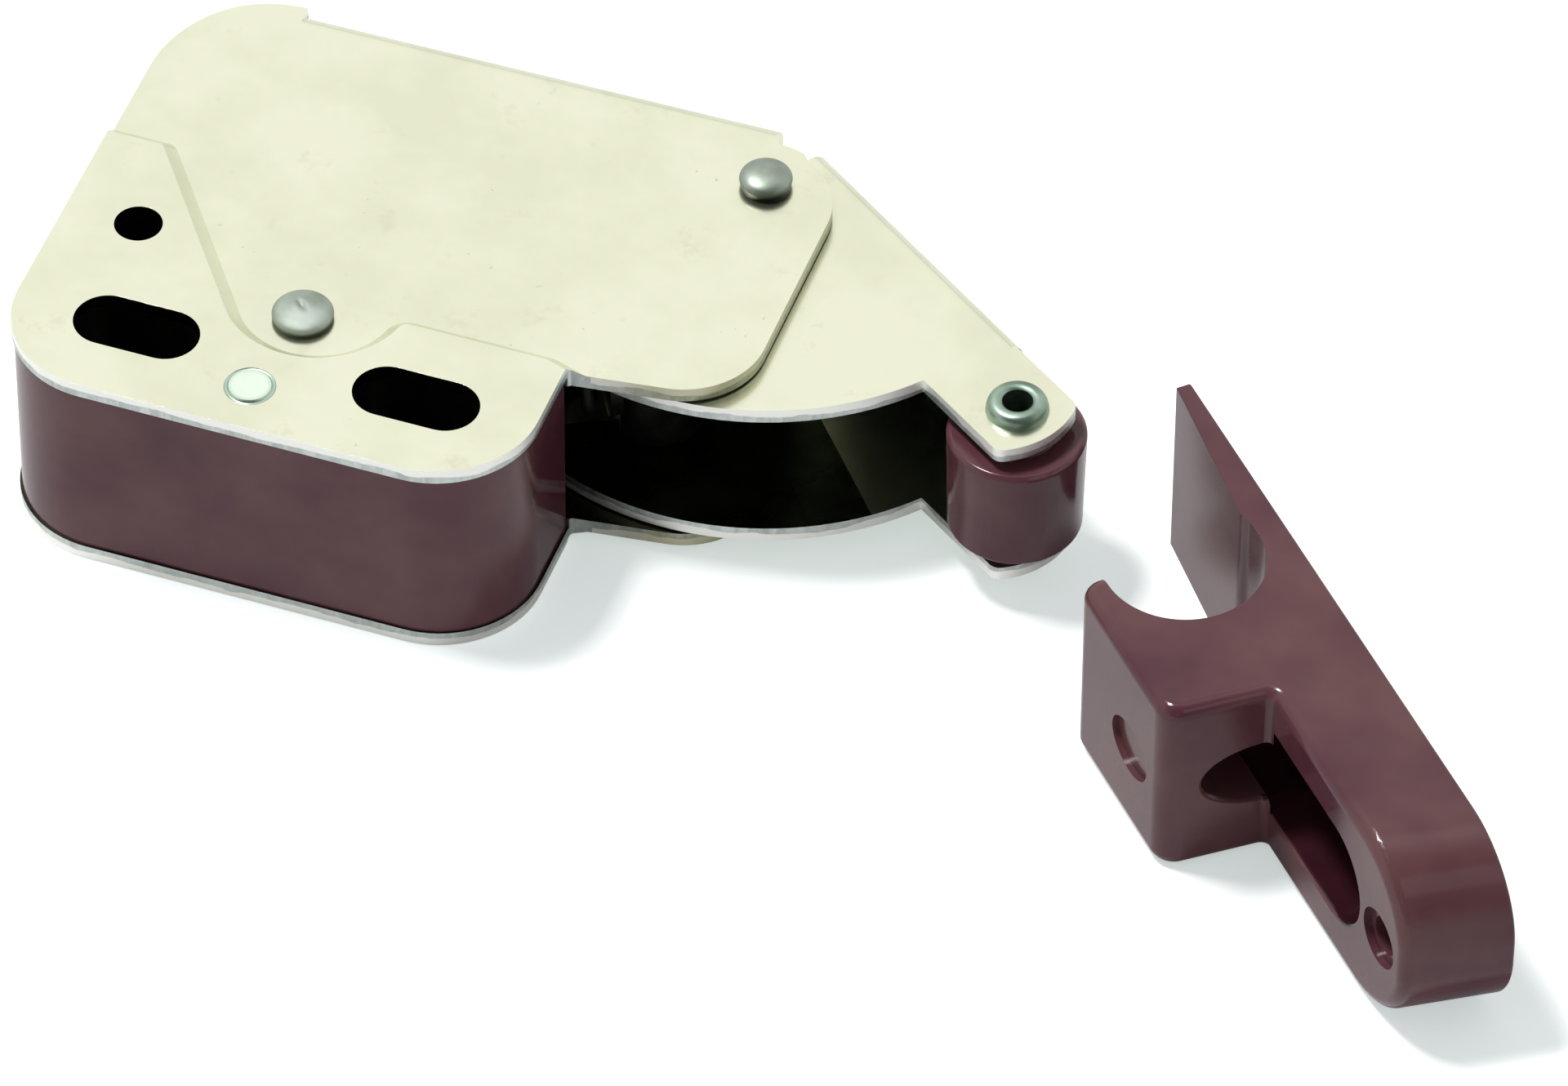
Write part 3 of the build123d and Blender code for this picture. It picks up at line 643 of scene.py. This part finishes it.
# Pins, in millimetres: the spot of the axis, the plates' outer levels, the shaft and the two heads. A head has a
# radius, an upright side, a dome above it and the roundness of its shoulder, where 2 is an ellipse. The dent's
# turn is in degrees
strutPinShape = {
    "spot": (12.1, -3.5),
    "levels": (0.75, 14.25),
    "shaft": 1.5,
    "tail": {"radius": 1.9, "side": 0.1, "dome": 0.6, "shoulder": 2.4, "flare": 0.0},
    "head": {"radius": 1.9, "side": 0.36, "dome": 0.57, "shoulder": 2.3, "flare": 0.04},
    "dent": {"spot": (-0.12, 0.18), "turn": -42.0, "length": 0.42, "width": 0.20, "depth": 0.16},
}
armPinShape = {
    "spot": (34.7, 16.9),
    "levels": (0.75, 14.25),
    "shaft": 1.2,
    "tail": {"radius": 1.65, "side": 0.1, "dome": 0.6, "shoulder": 2.2, "flare": 0.0},
    "head": {"radius": 1.65, "side": 0.55, "dome": 0.70, "shoulder": 2.1, "flare": 0.10},
    "dent": None,
}
flatRivetShape = {
    "spot": (11.5, -10.8),
    "levels": (0.0, 15.0),
    "radius": 1.6,
    "disc": 1.30,
    "rise": 0.12,
    "risePower": 4,
    "groove": 0.07,
    "groovePower": 0.7,
}


# A head's half profile from its rim to its pole: an upright side that leans in by the flare at its foot, then
# a superellipse, radius times cos t and dome times sin t, both to the power of 2 over the shoulder's number
def headProfile(head, level, upward, steps=36):
    turn = np.linspace(0.0, np.pi / 2, steps)
    power = 2.0 / head["shoulder"]
    radii = head["radius"] * np.cos(turn) ** power
    heights = head["side"] + head["dome"] * np.sin(turn) ** power
    radii[-1] = 0.0
    sideSteps = np.linspace(0.0, 1.0, 6)[:-1]
    radii = np.concatenate((head["radius"] - head["flare"] * (1.0 - sideSteps), radii))
    heights = np.concatenate((head["side"] * sideSteps, heights))
    return radii, level + (heights if upward else -heights)


# A whole pin's profile, pole to pole: tail, shaft and head. The painted shade, for the dark undercut beneath
# the head, is one on the head's side and fades over its shoulder
def pinProfile(shape):
    low, high = shape["levels"]
    tailRadii, tailHeights = headProfile(shape["tail"], low, False)
    headRadii, headHeights = headProfile(shape["head"], high, True)
    radii = np.concatenate((tailRadii[::-1], (shape["shaft"], shape["shaft"]), headRadii))
    heights = np.concatenate((tailHeights[::-1], (low, high), headHeights))
    above = (heights - high) / shape["head"]["side"]
    paintedShade = np.where(above >= 0.0, np.clip(1.6 - above * 1.1, 0.0, 1.0), 0.0)
    return radii, heights, paintedShade


# The flat rivet's profile: a plain lower face, a shaft, a pressed ring groove and a raised flat disc. Its
# painted shade darkens the groove and fades at the groove's two rims
def flatRivetProfile(shape):
    low, high = shape["levels"]
    edge, disc, groove = shape["radius"], shape["disc"], shape["groove"]
    share = np.linspace(0.0, 1.0, 13)[1:-1]
    ringRadii = edge + (disc - edge) * share
    ringHeights = high - groove * np.sin(np.pi * share) ** shape["groovePower"]
    ringHeights = ringHeights + shape["rise"] * share ** shape["risePower"]
    inner = np.linspace(1.0, 0.0, 6)
    radii = np.concatenate(((0.0, edge, edge), ringRadii, disc * inner))
    heights = np.concatenate(((low, low, high), ringHeights, np.full(6, high + shape["rise"])))
    paintedShade = np.concatenate(((0.0, 0.0, 0.6), np.full(len(share), 1.0), (0.5, 0, 0, 0, 0, 0)))
    return radii, heights, paintedShade


# A turned piece: the profile's points are carried round the axis as rings of equal steps, and its first and
# last points are the poles. A dent is a soft hollow whose depth falls off as the bell curve of the distances
# along and across it
def turnedPiece(name, node, shape, profile, material, around=96, creaseAngle=38.0):
    radii, heights, paintedShade = profile
    turn = np.linspace(0.0, 2 * np.pi, around, endpoint=False)
    ringRadii, ringHeights = radii[1:-1], heights[1:-1]
    x = ringRadii[:, None] * np.cos(turn)
    y = ringRadii[:, None] * np.sin(turn)
    z = np.repeat(ringHeights[:, None], around, axis=1)
    ringPoints = np.stack((x, y, z), axis=-1).reshape(-1, 3)
    points = np.concatenate((((0.0, 0.0, heights[0]),), ringPoints, ((0.0, 0.0, heights[-1]),)))
    dent = shape.get("dent")
    if dent is not None:
        across = points[:, :2] - np.array(dent["spot"])
        lean = math.radians(dent["turn"])
        along = across @ np.array((math.cos(lean), math.sin(lean)))
        aside = across @ np.array((-math.sin(lean), math.cos(lean)))
        hollow = np.exp(-((along / dent["length"]) ** 2) - (aside / dent["width"]) ** 2)
        points[:, 2] -= np.where(points[:, 2] > shape["levels"][1], dent["depth"] * hollow, 0.0)
    points[:, :2] += np.array(shape["spot"])
    rings = len(ringRadii)
    column = np.arange(around)
    following = (column + 1) % around
    base = 1 + np.arange(rings - 1)[:, None] * around
    walls = np.stack((base + column, base + following, base + around + following, base + around + column), axis=-1)
    lastRing = 1 + (rings - 1) * around
    lowFan = np.stack((np.zeros(around, dtype=int), 1 + following, 1 + column), axis=-1)
    highFan = np.stack((np.full(around, len(points) - 1), lastRing + column, lastRing + following), axis=-1)
    faces = walls.reshape(-1, 4).tolist() + lowFan.tolist() + highFan.tolist()
    data = bpy.data.meshes.new(name)
    data.from_pydata((points * mm).tolist(), [], faces)
    # each point's painted shade, kept as an attribute for the rivet metal
    shades = np.concatenate(((paintedShade[0],), np.repeat(paintedShade[1:-1], around), (paintedShade[-1],)))
    data.attributes.new("paintedShade", "FLOAT", "POINT").data.foreach_set("value", shades)
    data.materials.append(material)
    data.shade_smooth()
    data.set_sharp_from_angle(angle=math.radians(creaseAngle))
    data.validate()
    piece = bpy.data.objects.new(name, data)
    bpy.context.scene.collection.objects.link(piece)
    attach(piece, frame["nodes"][node]["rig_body"])
    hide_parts(node)


turnedPiece("strutPinTurned", "strut_pin", strutPinShape, pinProfile(strutPinShape), rivetMetals["strutPinMetal"])
turnedPiece("armPinTurned", "arm_pin", armPinShape, pinProfile(armPinShape), rivetMetals["armPinMetal"])
turnedPiece(
    "flatRivetTurned", "spacer_rivet", flatRivetShape, flatRivetProfile(flatRivetShape), rivetMetals["flatRivetMetal"]
)
print("pins turned")

# the hidden mechanism's dark steel, nearly black partly as painted shade of the channel
for node, material in {
    "pivot_sleeve": darkMetal,
    "roller_axle": rivetMetals["axleMetal"],
    "spring_guide": darkMetal,
    "trunnion": darkMetal,
    "spring_seat": darkMetal,
    "toggle_spring": darkMetal,
}.items():
    shown = frame["nodes"][node]
    shown.data.materials.clear()
    shown.data.materials.append(material)
print("axle and mechanism finished")

# Stage: a pale floor that looks white where nothing shades it, and a plain studio
stageSettings = {
    "floorHalf": 3.0,
    "floorDrop": 0.00005,
    "floorColor": (0.80, 0.80, 0.80, 1.0),
    "floorGlow": 0.50,
    "glowColor": (0.90, 1.0, 0.99, 1.0),
    "floorMirrored": 0.08,
    "worldGlow": 0.35,
    "worldSeen": 1.0,
    "wallSeen": 1.0,
    "wallBands": (
        (0.0, (0.99, 1.00, 0.95)),
        (9.0, (0.94, 0.96, 0.90)),
        (17.0, (0.60, 0.66, 0.60)),
        (25.0, (0.98, 0.98, 0.95)),
        (56.0, (0.98, 0.98, 0.95)),
        (64.0, (0.74, 0.76, 0.74)),
        (72.0, (1.45, 1.45, 1.50)),
    ),
    "roomSeen": 0.11,
    "roomDirection": (0.229, -0.658, 0.717),
    "roomInner": 34.0,
    "roomOuter": 60.0,
}


# One for camera and transmitted rays, and the given share for mirrored rays
def seenDirectly(tree, mirroredShare):
    path = tree.nodes.new("ShaderNodeLightPath")
    direct = tree.nodes.new("ShaderNodeMath")
    direct.operation = "MAXIMUM"
    tree.links.new(path.outputs["Is Camera Ray"], direct.inputs[0])
    tree.links.new(path.outputs["Is Transmission Ray"], direct.inputs[1])
    both = tree.nodes.new("ShaderNodeMath")
    both.operation = "MULTIPLY_ADD"
    tree.links.new(path.outputs["Is Glossy Ray"], both.inputs[0])
    both.inputs[1].default_value = mirroredShare
    tree.links.new(direct.outputs["Value"], both.inputs[2])
    return both.outputs["Value"]


def makeFloor(settings):
    half, drop = settings["floorHalf"], settings["floorDrop"]
    corners = np.array([(-half, -half, -drop), (half, -half, -drop), (half, half, -drop), (-half, half, -drop)])
    data = bpy.data.meshes.new("floor")
    data.from_pydata(corners.tolist(), [], [(0, 1, 2, 3)])
    floor = bpy.data.objects.new("floor", data)
    bpy.context.scene.collection.objects.link(floor)
    material = bpy.data.materials.new("floorPaper")
    material.use_nodes = True
    tree = material.node_tree
    tree.nodes.clear()
    diffuse = tree.nodes.new("ShaderNodeBsdfDiffuse")
    diffuse.inputs["Color"].default_value = settings["floorColor"]
    glow = tree.nodes.new("ShaderNodeEmission")
    glow.inputs["Color"].default_value = settings["glowColor"]
    scaled = tree.nodes.new("ShaderNodeMath")
    scaled.operation = "MULTIPLY"
    scaled.inputs[1].default_value = settings["floorGlow"]
    tree.links.new(seenDirectly(tree, settings["floorMirrored"]), scaled.inputs[0])
    tree.links.new(scaled.outputs["Value"], glow.inputs["Strength"])
    both = tree.nodes.new("ShaderNodeAddShader")
    tree.links.new(diffuse.outputs["BSDF"], both.inputs[0])
    tree.links.new(glow.outputs["Emission"], both.inputs[1])
    output = tree.nodes.new("ShaderNodeOutputMaterial")
    tree.links.new(both.outputs["Shader"], output.inputs["Surface"])
    data.materials.append(material)


# The studio's far side is a pale wall, and the side behind the camera is an unlit room, which only
# mirrored rays see: the cosine between a ray and the room's direction fades the wall into the dark. The wall's
# bands are colours at degrees above the horizon: a grey-green skirting, the pale wall and a grey ceiling
def makeWorld(settings):
    world = bpy.data.worlds.new("studio")
    world.use_nodes = True
    tree = world.node_tree
    tree.nodes.clear()
    lighting, shown, mirrored = (tree.nodes.new("ShaderNodeBackground") for _ in range(3))
    lighting.inputs["Strength"].default_value = settings["worldGlow"]
    shown.inputs["Strength"].default_value = settings["worldSeen"]
    lighting.inputs["Color"].default_value = (1, 1, 1, 1)
    shown.inputs["Color"].default_value = (1, 1, 1, 1)
    heading = tree.nodes.new("ShaderNodeTexCoord")
    facing = tree.nodes.new("ShaderNodeVectorMath")
    facing.operation = "DOT_PRODUCT"
    facing.inputs[1].default_value = settings["roomDirection"]
    tree.links.new(heading.outputs["Generated"], facing.inputs[0])
    fade = tree.nodes.new("ShaderNodeMapRange")
    fade.interpolation_type = "SMOOTHSTEP"
    fade.inputs["From Min"].default_value = math.cos(math.radians(settings["roomOuter"]))
    fade.inputs["From Max"].default_value = math.cos(math.radians(settings["roomInner"]))
    fade.inputs["To Min"].default_value = settings["wallSeen"]
    fade.inputs["To Max"].default_value = settings["roomSeen"]
    tree.links.new(facing.outputs["Value"], fade.inputs["Value"])
    rising = tree.nodes.new("ShaderNodeSeparateXYZ")
    tree.links.new(heading.outputs["Generated"], rising.inputs["Vector"])
    bands = tree.nodes.new("ShaderNodeValToRGB")
    elements = bands.color_ramp.elements
    while len(elements) < len(settings["wallBands"]):
        elements.new(0.5)
    for element, (degrees, color) in zip(elements, settings["wallBands"]):
        element.position = math.sin(math.radians(degrees))
        element.color = (*color, 1.0)
    tree.links.new(rising.outputs["Z"], bands.inputs["Fac"])
    tree.links.new(bands.outputs["Color"], mirrored.inputs["Color"])
    tree.links.new(fade.outputs["Result"], mirrored.inputs["Strength"])
    direct = tree.nodes.new("ShaderNodeMixShader")
    tree.links.new(seenDirectly(tree, 0.0), direct.inputs["Fac"])
    tree.links.new(lighting.outputs["Background"], direct.inputs[1])
    tree.links.new(shown.outputs["Background"], direct.inputs[2])
    path = tree.nodes.new("ShaderNodeLightPath")
    choice = tree.nodes.new("ShaderNodeMixShader")
    tree.links.new(path.outputs["Is Glossy Ray"], choice.inputs["Fac"])
    tree.links.new(direct.outputs["Shader"], choice.inputs[1])
    tree.links.new(mirrored.outputs["Background"], choice.inputs[2])
    output = tree.nodes.new("ShaderNodeOutputWorld")
    tree.links.new(choice.outputs["Shader"], output.inputs["Surface"])
    bpy.context.scene.world = world


# Lamps: place in metres, the side of the square panel, and its power in watts
lampSettings = {
    "keyPanel": {"place": (-0.25, 0.02, 0.79), "side": 0.14, "power": 5.4},
    "fillPanel": {"place": (0.55, -0.35, 0.60), "side": 0.30, "power": 0.2},
    "lowSpark": {"place": (0.20, -0.62, 0.30), "side": 0.05, "power": 0.03},
    "highSpark": {"place": (-0.10, -0.30, 0.75), "side": 0.05, "power": 0.05},
    "sideSpark": {"place": (0.62, -0.10, 0.35), "side": 0.05, "power": 0.03},
}


def makeLamps(settings, aim):
    for name, lamp in settings.items():
        data = bpy.data.lights.new(name, "AREA")
        data.size = lamp["side"]
        data.energy = lamp["power"]
        panel = bpy.data.objects.new(name, data)
        bpy.context.scene.collection.objects.link(panel)
        panel.location = lamp["place"]
        panel.rotation_euler = (aim - panel.location).to_track_quat("-Z", "Y").to_euler()


makeFloor(stageSettings)
makeWorld(stageSettings)
makeLamps(lampSettings, Vector((0.04, 0.0, 0.0)))
print("stage and lamps set")
